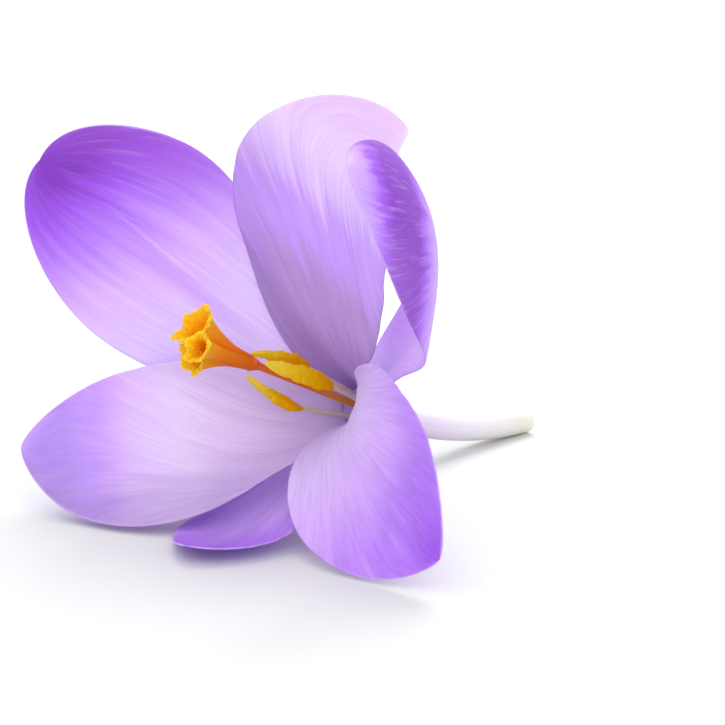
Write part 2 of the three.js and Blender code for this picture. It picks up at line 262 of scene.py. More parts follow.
def tepalDirections(form, share):
    outward, sideways = outwardAt(form["place"]), outwardAt(form["place"] + 90)
    lean, sway, twist = (np.radians(blend(form[key], share))[:, None] for key in ("lean", "sway", "twist"))
    leaning = axis * np.cos(lean) + outward * np.sin(lean)
    backward = -axis * np.sin(lean) + outward * np.cos(lean)
    along = leaning * np.cos(sway) + sideways * np.sin(sway)
    beside = -leaning * np.sin(sway) + sideways * np.cos(sway)
    crossways = beside * np.cos(twist) + backward * np.sin(twist)
    out = -beside * np.sin(twist) + backward * np.cos(twist)
    return along, crossways, out


def tepalMiddle(name, form):
    whorl = whorls[form["whorl"]]
    rows, columns = tepalSheet["rows"], tepalSheet["columns"]
    run = np.linspace(0, 1, rows + 1)
    share = 1 - (1 - run) ** tepalSheet["tipCrowding"]
    w = np.linspace(-1, 1, columns + 1)[None, :]
    along, crossways, out = tepalDirections(form, share)
    steps = unitRows(along[1:] + along[:-1]) * np.diff(share)[:, None] * form["length"]
    start = bloomPoint(whorl["seatHeight"], whorl["seatRadius"], form["place"])
    midrib = start + np.vstack([np.zeros(3), np.cumsum(steps, axis=0)])
    lobe = 0.5 * form["width"] * np.sin(np.pi * share ** form["widest"]).clip(0) ** form["blunt"]
    halfWidth = (lobe + 0.5 * whorl["claw"] * (1 - share) ** tepalSheet["clawFade"])[:, None]
    hollow = blend(form["hollow"], share) + tepalSheet["funnelWrap"] * (1 - share) ** tepalSheet["wrapFade"]
    bend = hollow[:, None] * (1 + form["hollowSkew"] * w)
    bend = np.radians(np.where(np.abs(bend) < tepalSheet["flattest"], tepalSheet["flattest"], bend))
    arc = halfWidth * (1 + blend(form["skew"], share)[:, None] * w) / bend
    sideOffset = (arc * np.sin(bend * w))[..., None]
    outOffset = (-arc * (1 - np.cos(bend * w)))[..., None]
    middle = midrib[:, None, :] + sideOffset * crossways[:, None, :] + outOffset * out[:, None, :]
    share = share[:, None]
    raised = reliefAt(form, strands[name], run[:, None], share, w)
    return middle + surfaceNormals(middle) * raised[..., None], share, w


def laneOf(strand, u, v):
    # which strand passes through a place on the sheet: 0 is the middle one
    side = 2 * (u - strand["midline"] - strand["lean"] * v * v)
    return strand["grain"] * side / (1 + strand["fan"] * (v / fanPlace) ** strand["power"])


def reliefAt(form, strand, v, share, w):
    # soft folds and fine veins along the strands, shallower where they are finer, and a wave in the margins
    phase = math.radians(form["place"] * 7)
    lane = laneOf(strand, (w + 1) / 2, v)
    grown = smooth(*relief["grows"], share) * (1 - smooth(*relief["fades"], share))
    main, lesser = relief["foldCounts"]
    folds = np.cos(lane * main + phase + share * 0.8)
    folds = folds + relief["lesserFold"] * np.cos(lane * lesser - phase * 1.7 + share)
    main, lesser = relief["veinCounts"]
    veins = np.sin(lane * main + relief["veinBend"] * np.sin(share * 4 + phase))
    veins = veins + relief["lesserVein"] * np.sin(lane * lesser + phase + share * 2)
    wave = np.sin(share * relief["waveCount"] + phase + w) * np.abs(w) ** 4
    ripples = (relief["foldDepth"] * folds + relief["veinDepth"] * veins) / strand["grain"]
    return grown * (ripples + relief["waveDepth"] * wave)


def makeTepal(name, form):
    middle, share, w = tepalMiddle(name, form)
    rim = tapered(w, tepalSheet["rimRoundness"])
    ends = tapered(2 * share - 1, tepalSheet["endRoundness"])
    thickness = tepalSheet["thickness"] * rim * ends
    materials = [tepalMaterial(name, form, False), tepalMaterial(name, form, True)]
    bladePiece(name + "_bloom", middle, thickness, materials, name)


def newMaterial(name):
    material = bpy.data.materials.new(name)
    material.use_nodes = True
    material.node_tree.nodes.clear()
    return material, material.node_tree


def feed(tree, socket, value):
    # a number, a colour or another node's output goes into a socket
    if isinstance(value, bpy.types.NodeSocket):
        tree.links.new(value, socket)
    elif isinstance(value, (tuple, list)) and len(value) == 3 and socket.type == "RGBA":
        socket.default_value = (*value, 1.0)
    else:
        socket.default_value = value


def calc(tree, operation, a, b=0.0, c=0.0):
    node = tree.nodes.new("ShaderNodeMath")
    node.operation = operation
    for socket, value in zip(node.inputs, (a, b, c)):
        feed(tree, socket, value)
    return node.outputs[0]


def product(tree, a, b):
    return calc(tree, "MULTIPLY", a, b)


def spread(tree, value, low, high, newLow=0.0, newHigh=1.0):
    node = tree.nodes.new("ShaderNodeMapRange")
    node.interpolation_type = "SMOOTHSTEP"
    for socket, given in zip(node.inputs, (value, low, high, newLow, newHigh)):
        feed(tree, socket, given)
    return node.outputs[0]


def mixColour(tree, factor, a, b):
    node = tree.nodes.new("ShaderNodeMix")
    node.data_type = "RGBA"
    for place, value in ((0, factor), (6, a), (7, b)):  # 6 and 7 are the node's two colours
        feed(tree, node.inputs[place], value)
    return node.outputs[2]


def colourRamp(tree, factor, stops):
    node = tree.nodes.new("ShaderNodeValToRGB")
    ramp = node.color_ramp
    while len(ramp.elements) < len(stops):
        ramp.elements.new(0.5)
    for element, (place, colour) in zip(ramp.elements, stops):
        element.position = place
        element.color = (*colour, 1.0)
    tree.links.new(factor, node.inputs["Fac"])
    return node.outputs["Color"]


def combine(tree, x, y, z=0.0):
    node = tree.nodes.new("ShaderNodeCombineXYZ")
    for socket, value in zip(node.inputs, (x, y, z)):
        feed(tree, socket, value)
    return node.outputs[0]


def noiseOf(tree, vector, scale, detail, roughness):
    node = tree.nodes.new("ShaderNodeTexNoise")
    feed(tree, node.inputs["Vector"], vector)
    node.inputs["Scale"].default_value = scale
    node.inputs["Detail"].default_value = detail
    node.inputs["Roughness"].default_value = roughness
    return node.outputs[0]


def sheetPlace(tree):
    # where on its sheet a point lies: from 0 to 1 across and from 0 to 1 along
    node = tree.nodes.new("ShaderNodeUVMap")
    node.uv_map = "sheet"
    parts = tree.nodes.new("ShaderNodeSeparateXYZ")
    tree.links.new(node.outputs[0], parts.inputs[0])
    return parts.outputs[0], parts.outputs[1]


def bumpOf(tree, height, strength, distance):
    node = tree.nodes.new("ShaderNodeBump")
    node.inputs["Strength"].default_value = strength
    node.inputs["Distance"].default_value = distance
    tree.links.new(height, node.inputs["Height"])
    return node.outputs[0]


def finishMaterial(tree, colour, normal, roughness, shine, through=None):
    shader = tree.nodes.new("ShaderNodeBsdfPrincipled")
    feed(tree, shader.inputs["Base Color"], colour)
    feed(tree, shader.inputs["Roughness"], roughness)
    for name, value in shine.items():
        shader.inputs[name].default_value = value
    if normal is not None:
        tree.links.new(normal, shader.inputs["Normal"])
    output = tree.nodes.new("ShaderNodeOutputMaterial")
    surface = shader.outputs[0]
    if through:
        share, throughColour = through
        glow = tree.nodes.new("ShaderNodeBsdfTranslucent")
        feed(tree, glow.inputs["Color"], throughColour)
        mix = tree.nodes.new("ShaderNodeMixShader")
        mix.inputs[0].default_value = share
        tree.links.new(surface, mix.inputs[1])
        tree.links.new(glow.outputs[0], mix.inputs[2])
        surface = mix.outputs[0]
    tree.links.new(surface, output.inputs["Surface"])


# how often each layer repeats across the strands and along them, and its detail
veinLayers = {"Broad": (4.0, 1.6, 2.0), "Streaks": (15.0, 2.6, 3.0), "Fine": (48.0, 7.0, 3.0)}
veinWander = 0.06  # by which the broad layer pushes the finer ones aside
veinRoughness = 0.55


def veinGroup():
    # strands that leave the base side by side and fan out to the margins, with inputs as in strands above
    tree = bpy.data.node_groups.new("tepalVeins", "ShaderNodeTree")
    for name in ("Across", "Along", "Midline", "Lean", "Fan", "Power", "Grain", "Dash", "Shift"):
        tree.interface.new_socket(name, in_out="INPUT", socket_type="NodeSocketFloat")
    for name in veinLayers:
        tree.interface.new_socket(name, in_out="OUTPUT", socket_type="NodeSocketFloat")
    given = tree.nodes.new("NodeGroupInput")
    results = tree.nodes.new("NodeGroupOutput")
    u, v, midline, lean, fan, power, grain, dash, shift = given.outputs[:9]
    middle = calc(tree, "MULTIPLY_ADD", product(tree, v, v), lean, midline)
    side = product(tree, calc(tree, "SUBTRACT", u, middle), 2.0)
    spreading = calc(tree, "POWER", calc(tree, "DIVIDE", v, fanPlace), power)
    lane = calc(tree, "DIVIDE", side, calc(tree, "MULTIPLY_ADD", spreading, fan, 1.0))
    lane = product(tree, lane, grain)
    dashes = product(tree, v, dash)
    for name, (acrossScale, alongScale, detail) in veinLayers.items():
        x = product(tree, lane, acrossScale)
        y = product(tree, dashes, alongScale)
        layer = noiseOf(tree, combine(tree, x, y, shift), 1.0, detail, veinRoughness)
        tree.links.new(layer, results.inputs[name])
        if name == "Broad":
            lane = calc(tree, "MULTIPLY_ADD", layer, veinWander, lane)
    return tree


violets = {
    "deep": (0.30, 0.06, 0.57),
    "violet": (0.42, 0.12, 0.82),
    "bright": (0.60, 0.31, 0.95),
    "lilac": (0.69, 0.47, 0.96),
    "pale": (0.84, 0.62, 0.99),
    "pink": (0.90, 0.72, 0.99),
    "blush": (0.95, 0.83, 0.99),
    "frost": (0.98, 0.92, 1.0),
    "blue": (0.51, 0.35, 0.80),
    # painted shade: greyed violets laid where the tepals stand in shade, at the base of inner tepal 1 and
    # on the far margins of inner tepals 1 and 2
    "dusk": (0.45, 0.28, 0.62),
    "mauve": (0.58, 0.42, 0.68),
    "haze": (0.72, 0.60, 0.93),
    "milk": (0.86, 0.76, 0.98),
}
# stops: colours from the base (0) to the tip (1)
# tilt: how much further down the colours reach on the near side, where u is 0
# near and far: the colour of a margin, its share, and where along the tepal it begins and ends
# contrast: of the light and dark strands; carry: how far they carry the colours up or down
# midrib: where across the sheet the painted light and shade of the crease along the midrib show
tepalLooks = {
    "tepal_outer_1": {
        "stops": [
            (0.0, "milk"), (0.28, "milk"), (0.41, "pale"),
            (0.55, "bright"), (0.68, "violet"), (0.8, "deep"),
        ],
        # the near margin's deep violet is partly the tepal's own darker edge and partly painted shade,
        # where tepal_inner_1 lies over it
        "tilt": 0.16, "near": ("deep", 0.6, 0.25, 1.2), "far": ("violet", 0.6, 0.5, 1.2),
        "contrast": 0.12, "carry": 1.0, "midrib": 0.44,
    },
    "tepal_outer_3": {
        "stops": [(0.0, "milk"), (0.3, "pale"), (0.6, "bright"), (0.9, "violet")],
        "tilt": 0.0, "near": ("violet", 0.3, 0.3, 1.2), "far": ("violet", 0.3, 0.3, 1.2),
        "contrast": 0.14, "carry": 1.0,
    },
    "tepal_inner_1": {
        # the greyed colours at the base are painted shade; the pale pink and blush towards the tip are
        # partly the tepal's own paler colour and partly painted light, where the tip is lit through from
        # behind
        "stops": [
            (0.0, "dusk"), (0.24, "mauve"), (0.32, "mauve"), (0.42, "lilac"),
            (0.51, "lilac"), (0.58, "pink"), (0.67, "blush"), (0.85, "pink"),
        ],
        # the far margin's greyed violet is painted shade
        "tilt": -0.1, "near": ("lilac", 0.2, 0.3, 1.2), "far": ("dusk", 0.45, 0.0, 0.7),
        "contrast": 0.1, "carry": 1.0,
    },
    "tepal_inner_2": {
        "stops": [
            (0.0, "milk"), (0.3, "blush"), (0.4, "frost"), (0.54, "pink"),
            (0.57, "pale"), (0.63, "lilac"), (0.8, "blue"), (1.0, "lilac"),
        ],
        # the far margin's greyed violet is painted shade, on the side turned down towards the surface
        "tilt": 0.06, "near": ("bright", 0.3, 0.3, 1.2), "far": ("dusk", 0.6, 0.1, 1.2),
        "contrast": 0.1, "carry": 1.0,
    },
    "tepal_inner_3": {
        "stops": [(0.0, "milk"), (0.3, "milk"), (0.46, "pale"), (0.64, "bright"), (0.9, "violet")],
        "tilt": 0.0, "near": ("bright", 0.4, 0.3, 1.2), "far": ("bright", 0.4, 0.3, 1.2),
        "contrast": 0.14, "carry": 1.0,
    },
    "tepal_outer_2_outside": {
        # the paling towards the tip and the lighter near margin are partly this outside's own colour and
        # partly painted sheen, the silvery shine of its tip and margin
        "stops": [
            (0.0, "milk"), (0.3, "lilac"), (0.45, "haze"), (0.51, "lilac"),
            (0.56, "bright"), (0.6, "violet"), (0.63, "deep"), (0.75, "deep"),
            (0.79, "violet"), (0.83, "bright"), (0.87, "lilac"), (1.0, "pale"),
        ],
        "tilt": 0.12, "near": ("lilac", 0.3, 0.5, 1.2), "far": ("deep", 0.5, 0.35, 0.8),
        "contrast": 0.17, "carry": 0.45,
    },
    "outside": {
        "stops": [
            (0.0, "milk"), (0.2, "lilac"), (0.42, "bright"),
            (0.6, "violet"), (0.8, "violet"), (1.0, "bright"),
        ],
        "tilt": 0.0, "near": ("pale", 0.8, 0.2, 1.2), "far": ("bright", 0.5, 0.1, 1.2),
        "contrast": 0.26, "carry": 1.0,
    },
}
tepalLooks["tepal_outer_2"] = tepalLooks["tepal_outer_3"]
tepalFinish = {
    "broadCarry": 0.22,  # how far each layer of strands carries the colours, and by how much all go back
    "streakCarry": 0.14,
    "carryBack": 0.18,
    "margins": {"near": (0.42, 0.0), "far": (0.58, 1.0)},  # where across the sheet each begins and is full
    "marginGrows": 0.3,  # length over which a margin's colour comes, and over which it goes
    "marginFades": 0.2,
    # a painted highlight along the rim of the upper half
    "rimHighlightShare": 0.55,
    "rimHighlightPlace": (0.484, 0.497),  # from the middle of the sheet
    "rimHighlightGrows": (0.5, 0.8),  # along the tepal
    "streakFades": (0.7, 0.95),
    "streakLeft": 0.15,  # of the streaks, at the tip
    "lightStreaks": 1.6,  # strength of the light strands, in contrasts
    "fineDark": 0.6,  # strength of the fine grain, in contrasts
    "fineLight": 0.3,
    "through": 0.42,  # share of the light that goes through the tepal
    "paleness": 0.18,  # of the light that comes through
    "roughness": 0.55,
    "sheen": 0.1,
    "sheenRoughness": 0.4,
    "specular": 0.25,
    "bump": 0.35,
    "bumpDepth": 0.1,
}
# painted light and shade of the crease along the midrib: the pale line is the highlight, the darker band
# the shade
paintedCreaseLook = {
    "grows": (0.15, 0.35),  # along the tepal
    "fades": (0.42, 0.66),
    "shadeBandAway": 0.06,  # of the darker band from the pale line, across the sheet
    "shadeBandWidth": 0.1,
    "shadeBandShare": 0.5,
    "highlightLineWidths": (0.002, 0.013),
    "lineShare": 0.35,
}
veins = veinGroup()


def veinsAt(tree, u, v, strand, shift):
    group = tree.nodes.new("ShaderNodeGroup")
    group.node_tree = veins
    tree.links.new(u, group.inputs["Across"])
    tree.links.new(v, group.inputs["Along"])
    for key, value in strand.items():
        group.inputs[key.capitalize()].default_value = value
    group.inputs["Shift"].default_value = shift
    return group.outputs[:3]


def marginColour(tree, colour, u, v, shifts, look, side):
    shade, share, begins, ends = look[side]
    edge = spread(tree, calc(tree, "ADD", u, shifts), *tepalFinish["margins"][side], 0.0, share)
    edge = product(tree, edge, spread(tree, v, begins, begins + tepalFinish["marginGrows"]))
    edge = product(tree, edge, spread(tree, v, ends - tepalFinish["marginFades"], ends, 1.0, 0.0))
    return mixColour(tree, edge, colour, violets[shade])


def paintedCreaseLightAndShade(tree, colour, u, v, place):
    # painted light and shade of a crease along the midrib: a pale line of painted highlight, with a soft
    # darker band of painted shade on its far side
    away = calc(tree, "SUBTRACT", u, place)
    fading = spread(tree, v, *paintedCreaseLook["fades"], 1.0, 0.0)
    shown = product(tree, spread(tree, v, *paintedCreaseLook["grows"]), fading)
    fromBand = calc(tree, "ABSOLUTE", calc(tree, "SUBTRACT", away, paintedCreaseLook["shadeBandAway"]))
    band = spread(tree, fromBand, 0.0, paintedCreaseLook["shadeBandWidth"], paintedCreaseLook["shadeBandShare"], 0.0)
    colour = mixColour(tree, product(tree, band, shown), colour, violets["bright"])
    fromLine = calc(tree, "ABSOLUTE", away)
    line = spread(tree, fromLine, *paintedCreaseLook["highlightLineWidths"], paintedCreaseLook["lineShare"], 0.0)
    return mixColour(tree, product(tree, line, shown), colour, violets["frost"])


def paintedRimHighlight(tree, colour, u, v):
    # a painted highlight: a thin pale rim round the upper half, where the thin margin catches the light
    fromMiddle = calc(tree, "ABSOLUTE", calc(tree, "SUBTRACT", u, 0.5))
    rim = spread(tree, fromMiddle, *tepalFinish["rimHighlightPlace"], 0.0, tepalFinish["rimHighlightShare"])
    rim = product(tree, rim, spread(tree, v, *tepalFinish["rimHighlightGrows"]))
    return mixColour(tree, rim, colour, violets["milk"])


def streakColour(tree, colour, v, streaks, fine, contrast):
    # light and dark strands, which fade out before the tip, and a fine grain in their brightness
    fading = spread(tree, v, *tepalFinish["streakFades"], 1.0, tepalFinish["streakLeft"])
    light = spread(tree, streaks, 0.5, 0.75, 0.0, contrast * tepalFinish["lightStreaks"])
    colour = mixColour(tree, product(tree, light, fading), colour, violets["blush"])
    dark = spread(tree, streaks, 0.5, 0.25, 0.0, contrast)
    colour = mixColour(tree, product(tree, dark, fading), colour, violets["violet"])
    darkest = 1.0 - contrast * tepalFinish["fineDark"]
    lightest = 1.0 + contrast * tepalFinish["fineLight"]
    tinted = tree.nodes.new("ShaderNodeHueSaturation")
    tree.links.new(spread(tree, fine, 0.35, 0.65, darkest, lightest), tinted.inputs["Value"])
    tree.links.new(colour, tinted.inputs["Color"])
    return tinted.outputs[0]


def tepalMaterial(name, form, isOutside):
    title = name + "_outside" if isOutside else name
    look = tepalLooks.get(title, tepalLooks["outside"])
    material, tree = newMaterial(title)
    u, v = sheetPlace(tree)
    broad, streaks, fine = veinsAt(tree, u, v, strands[name], form["place"] / 10)
    # the strands carry the colours further up or down
    carried = product(tree, broad, tepalFinish["broadCarry"])
    carried = calc(tree, "ADD", carried, product(tree, streaks, tepalFinish["streakCarry"]))
    shifts = product(tree, calc(tree, "SUBTRACT", carried, tepalFinish["carryBack"]), look["carry"])
    reach = calc(tree, "ADD", v, shifts)
    tilted = calc(tree, "MULTIPLY_ADD", calc(tree, "SUBTRACT", 0.5, u), look["tilt"], reach)
    colour = colourRamp(tree, tilted, [(place, violets[shade]) for place, shade in look["stops"]])
    for side in tepalFinish["margins"]:
        colour = marginColour(tree, colour, u, v, shifts, look, side)
    # painted highlight and shade of the crease along the midrib
    if "midrib" in look:
        colour = paintedCreaseLightAndShade(tree, colour, u, v, look["midrib"])
    # painted highlight along the rim
    colour = paintedRimHighlight(tree, colour, u, v)
    colour = streakColour(tree, colour, v, streaks, fine, look["contrast"])
    height = calc(tree, "ADD", product(tree, fine, 0.5), streaks)
    normal = bumpOf(tree, height, tepalFinish["bump"], tepalFinish["bumpDepth"] * mm)
    shine = {
        "Sheen Weight": tepalFinish["sheen"],
        "Sheen Roughness": tepalFinish["sheenRoughness"],
        "Specular IOR Level": tepalFinish["specular"],
    }
    glow = mixColour(tree, tepalFinish["paleness"], colour, (1.0, 1.0, 1.0))
    finishMaterial(tree, colour, normal, tepalFinish["roughness"], shine, (tepalFinish["through"], glow))
    return material


for name, form in tepals.items():
    makeTepal(name, form)
    print("made", name)

tube = {
    "radius": 1.5,
    "wall": 0.55,
    "throatRadius": 3.9,
    "flareLength": 9.0,
    "flarePower": 1.7,
    "collar": 1.1,  # of the rim above the throat, thin and close round the tepals
    "collarRows": 9,
    "collarFrom": 0.75,  # where along the tube its wall begins to thin
    "collarThinning": 0.75,
    "endRoundness": 90.0,
    "layLength": 14.0,
    "rows": 110,
    "columns": 64,
    "ridges": 6,
    "ridgeDepth": 0.05,
    "ridgesGrow": (0.2, 1.0),  # as the tube flares
}
bendLength = (bloom["throatHeight"] - tube["radius"]) / math.sin(tilt)
bendPoint = throat - axis * bendLength
cutPoint = bendPoint + np.array([0, tube["layLength"], 0])
tubeLook = {
    "stops": [
        (0.0, (0.86, 0.86, 0.74)), (0.35, (0.86, 0.83, 0.88)),
        (0.8, (0.78, 0.68, 0.90)), (1.0, (0.66, 0.50, 0.86)),
    ],
    "lines": 40.0,  # round the tube
    "lineColour": (0.60, 0.42, 0.80),
    "lineShare": 0.25,
    "lineDrift": 0.3,
    "bump": 0.25,
    "bumpDepth": 0.1,
    "specular": 0.4,
    "roughness": 0.42,
    "through": 0.3,
}


def linesAlong(tree, u, v, count):
    place = combine(tree, product(tree, u, count), product(tree, v, 3.0))
    return noiseOf(tree, place, 1.0, 4.0, 0.6)


def driftedBy(tree, v, pattern, amount):
    # the place along the piece, moved up or down by a pattern
    return calc(tree, "MULTIPLY_ADD", pattern, amount, calc(tree, "SUBTRACT", v, amount / 2))


def tubeMaterial():
    material, tree = newMaterial("tubeSkin")
    u, v = sheetPlace(tree)
    lines = linesAlong(tree, u, v, tubeLook["lines"])
    colour = colourRamp(tree, driftedBy(tree, v, lines, tubeLook["lineDrift"]), tubeLook["stops"])
    lined = spread(tree, lines, 0.5, 0.75, 0.0, tubeLook["lineShare"])
    colour = mixColour(tree, lined, colour, tubeLook["lineColour"])
    normal = bumpOf(tree, lines, tubeLook["bump"], tubeLook["bumpDepth"] * mm)
    shine = {"Specular IOR Level": tubeLook["specular"]}
    finishMaterial(tree, colour, normal, tubeLook["roughness"], shine, (tubeLook["through"], colour))
    return material


def makeTube():
    rows, columns = tube["rows"], tube["columns"]
    points, ahead = curvePoints((cutPoint, bendPoint, throat), np.linspace(0, 1, rows + 1))
    steps = np.linalg.norm(np.diff(points, axis=0), axis=1)
    height = np.concatenate([[0], np.cumsum(steps)]) - steps.sum()
    # the collar carries on past the throat, along the bloom's axis
    extra = np.linspace(0, tube["collar"], tube["collarRows"])[1:]
    points = np.vstack([points, throat + axis * extra[:, None]])
    ahead = np.vstack([ahead, np.repeat(axis[None, :], len(extra), axis=0)])
    height = np.concatenate([height, extra])
    flare = np.maximum(0, 1 + height / tube["flareLength"]) ** tube["flarePower"]
    radius = tube["radius"] + (tube["throatRadius"] - tube["radius"]) * flare
    angle = anglesRound(columns)
    grown = smooth(*tube["ridgesGrow"], flare)[:, None]
    ridge = 1 + tube["ridgeDepth"] * np.cos(tube["ridges"] * angle) * grown
    run = (height - height[0]) / (height[-1] - height[0])
    thickness = tube["wall"] * tapered(2 * run - 1, tube["endRoundness"])
    thickness *= 1 - tube["collarThinning"] * smooth(tube["collarFrom"], 1.0, run)
    ring = (radius - tube["wall"] / 2)[:, None] * ridge
    middle = ringSkin(points, ahead, across, ring * np.cos(angle), ring * np.sin(angle))
    thickness = np.repeat(thickness[:, None], columns + 1, axis=1)
    materials = [tubeMaterial()]
    bladePiece("tube_bloom", middle[:, ::-1], thickness, materials, "perianth_tube", wraps=True)


makeTube()
print("made the tube")

style = {
    "radius": 0.42,
    "recess": 1.0,  # of its lower end inside the cut end of the tube
    "forkHeight": 20.6,
    "forkRadius": 0.9,
    "forkLength": 2.4,
    "lobes": 3,
    "lobeDepth": 0.16,
    "lobePlace": 140,
    "footRounding": 0.7,  # of the last ring before each end, in radii
    "headRounding": 0.85,
    "rows": 70,
    "columns": 20,
}
styleLook = {
    "stops": [
        (0.0, (0.88, 0.62, 0.22)), (0.55, (0.90, 0.42, 0.05)),
        (0.85, (0.88, 0.22, 0.01)), (1.0, (0.85, 0.17, 0.01)),
    ],
    "grain": 2500, "bump": 0.3, "roughness": 0.4, "specular": 0.45, "through": 0.2,
}
warmFinish = {
    "lines": 16.0,  # round the piece
    "lineDrift": 0.3,  # by which lines and grain move the colours along it
    "grainDrift": 0.2,
    "bumpDepth": 0.2,
}


def warmMaterial(name, look):
    # the colour runs along the piece, with streaks and a fine grain
    material, tree = newMaterial(name)
    u, v = sheetPlace(tree)
    lines = linesAlong(tree, u, v, warmFinish["lines"])
    coords = tree.nodes.new("ShaderNodeTexCoord").outputs["Object"]
    grain = noiseOf(tree, coords, look["grain"], 3.0, 0.6)
    drift = driftedBy(tree, v, lines, warmFinish["lineDrift"])
    drift = driftedBy(tree, drift, grain, warmFinish["grainDrift"])
    colour = colourRamp(tree, drift, look["stops"])
    depth = warmFinish["bumpDepth"] * mm
    normal = bumpOf(tree, calc(tree, "ADD", grain, lines), look["bump"], depth)
    shine = {"Specular IOR Level": look["specular"]}
    finishMaterial(tree, colour, normal, look["roughness"], shine, (look["through"], colour))
    return material


def makeStyle():
    rows, columns = style["rows"], style["columns"]
    inTube, aheadInTube = curvePoints((cutPoint, bendPoint, throat), np.linspace(0, 1, rows + 1))
    start = int(rows * style["recess"] / (bendLength + tube["layLength"])) + 1
    rise = np.linspace(0, style["forkHeight"], rows + 1)[1:]
    points = np.vstack([inTube[start:], throat + axis * rise[:, None]])
    ahead = np.vstack([aheadInTube[start:], np.repeat(axis[None, :], len(rise), axis=0)])
    height = np.concatenate([np.full(len(inTube) - start, -1.0), rise])
    widening = smooth(style["forkHeight"] - style["forkLength"], style["forkHeight"], height)
    radius = style["radius"] + (style["forkRadius"] - style["radius"]) * widening
    radius[0] = radius[-1] = 0
    radius[1] *= style["footRounding"]
    radius[-2] *= style["headRounding"]
    angle = anglesRound(columns)
    lobes = np.cos(style["lobes"] * (angle - math.radians(style["lobePlace"])))
    ring = radius[:, None] * (1 + style["lobeDepth"] * widening[:, None] * lobes)
    skin = ringSkin(points, ahead, across, ring * np.cos(angle), ring * np.sin(angle))
    roundPiece("style_bloom", skin, warmMaterial("styleSkin", styleLook), "style")


makeStyle()
print("made the style")

stigma = {
    "rootDrop": 0.9,  # of each root below the end of the style
    "rootOffset": 0.3,
    "rootRadius": 0.42,
    "kneeOffset": 0.62,
    "gap": 0.3,  # from the end of the style to where the branches are measured from
    "tipCrowding": 1.5,
    "stalkWidening": 0.8,
    "flare": 1.45,  # above 1 the bell widens later
    "lip": 0.3,  # by which the rim curls out, in mouth radii
    "lipFrom": 0.8,
    "flat": 0.8,  # of the mouth's depth to its width
    "thickness": 0.28,
    "endRoundness": 50.0,
    "frillPower": 2.2,  # above 1 the frill grows later towards the rim
    "folds": (5, 3),  # round the mouth, of the main ones and of the lesser ones
    "lesserFold": 0.5,
    "foldDepth": 0.1,
    "scallops": 13,
    "scallopDepth": 0.18,
    "scallopWander": (0.35, 0.2),
    "notch": 0.5,  # below 1 the notches between the scallops are narrow
    "notchLevel": 0.75,
    "crinkles": (21, 27),
    "lesserCrinkle": 0.7,
    "crinkleDepth": 0.05,
    "reach": 0.15,  # of the folds along the branch, in mouth radii
    "lumpPower": 1.2,
    "lumpScale": 1.6,
    "lumpDepth": 0.16,
    "grainScale": 5.0,
    "grainDepth": 0.05,
    "rows": 84,
    "columns": 168,
}
# place: round the style; turn: of the frill round its own mouth; stalk: share of the branch below the bell
stigmaBranches = {
    "stigma_branch_1": {
        "place": 123, "height": 8.4, "radius": 1.4, "mouth": 1.95, "stalk": 0.3, "turn": 200,
    },
    "stigma_branch_2": {
        "place": 240, "height": 7.4, "radius": 1.4, "mouth": 1.6, "stalk": 0.38, "turn": 75,
    },
    "stigma_branch_3": {
        "place": -28, "height": 9.6, "radius": 1.1, "mouth": 1.3, "stalk": 0.5, "turn": 130,
    },
}


def frillsOf(angle, turn):
    # folds, crinkles and scallops round the mouth: rounded lobes with narrow notches between them
    main, lesser = stigma["folds"]
    folds = np.cos(main * angle + turn) + stigma["lesserFold"] * np.cos(lesser * angle + 2 * turn)
    main, lesser = stigma["crinkles"]
    crinkles = np.cos(main * angle + turn) + stigma["lesserCrinkle"] * np.cos(lesser * angle - turn)
    slow, quick = stigma["scallopWander"]
    wander = slow * np.sin(3 * angle + turn) + quick * np.sin(5 * angle - turn)
    lobes = np.abs(np.cos(0.5 * stigma["scallops"] * angle + turn + wander))
    scallops = lobes ** stigma["notch"] - stigma["notchLevel"]
    return folds, crinkles, scallops


def makeBranch(name, form, materials):
    rows, columns = stigma["rows"], stigma["columns"]
    place = form["place"]
    mouth = form["mouth"]
    start = style["forkHeight"] + stigma["gap"]
    root = bloomPoint(style["forkHeight"] - stigma["rootDrop"], stigma["rootOffset"], place)
    knee = bloomPoint(start + form["height"] / 2, stigma["kneeOffset"], place)
    tip = bloomPoint(start + form["height"], stigma["kneeOffset"] + form["radius"], place)
    share = 1 - (1 - np.linspace(0, 1, rows + 1)) ** stigma["tipCrowding"]
    points, ahead = curvePoints((root, knee, tip), share)
    opening = ((share - form["stalk"]) / (1 - form["stalk"])).clip(0)[:, None]
    stalk = stigma["rootRadius"] * (1 + stigma["stalkWidening"] * share)[:, None]
    radius = stalk + (mouth - stalk) * opening ** stigma["flare"]
    radius += mouth * stigma["lip"] * smooth(stigma["lipFrom"], 1.0, opening) ** 2
    angle = anglesRound(columns)
    frill = opening ** stigma["frillPower"]
    folds, crinkles, scallops = frillsOf(angle, math.radians(form["turn"]))
    swell = 1 + frill * (stigma["foldDepth"] * folds + stigma["crinkleDepth"] * crinkles)
    depth = 1 + (stigma["flat"] - 1) * opening
    forward = mouth * (stigma["reach"] * frill * folds + stigma["scallopDepth"] * frill ** 2 * scallops)
    x = radius * swell * depth * np.cos(angle)
    y = radius * swell * np.sin(angle)
    middle = ringSkin(points, ahead, outwardAt(place), x, y) + ahead[:, None, :] * forward[..., None]
    lumps = stigma["lumpDepth"] * roughness3d(middle, stigma["lumpScale"], place)
    lumps += stigma["grainDepth"] * roughness3d(middle, stigma["grainScale"], place + 7)
    lumps *= opening ** stigma["lumpPower"]
    lumps[:, -1] = lumps[:, 0]
    middle += surfaceNormals(middle, True) * lumps[..., None]
    thickness = stigma["thickness"] * tapered(2 * share - 1, stigma["endRoundness"])
    thickness = np.repeat(thickness[:, None], columns + 1, axis=1)
    bladePiece(name + "_bloom", middle[:, ::-1], thickness, materials, name, wraps=True)


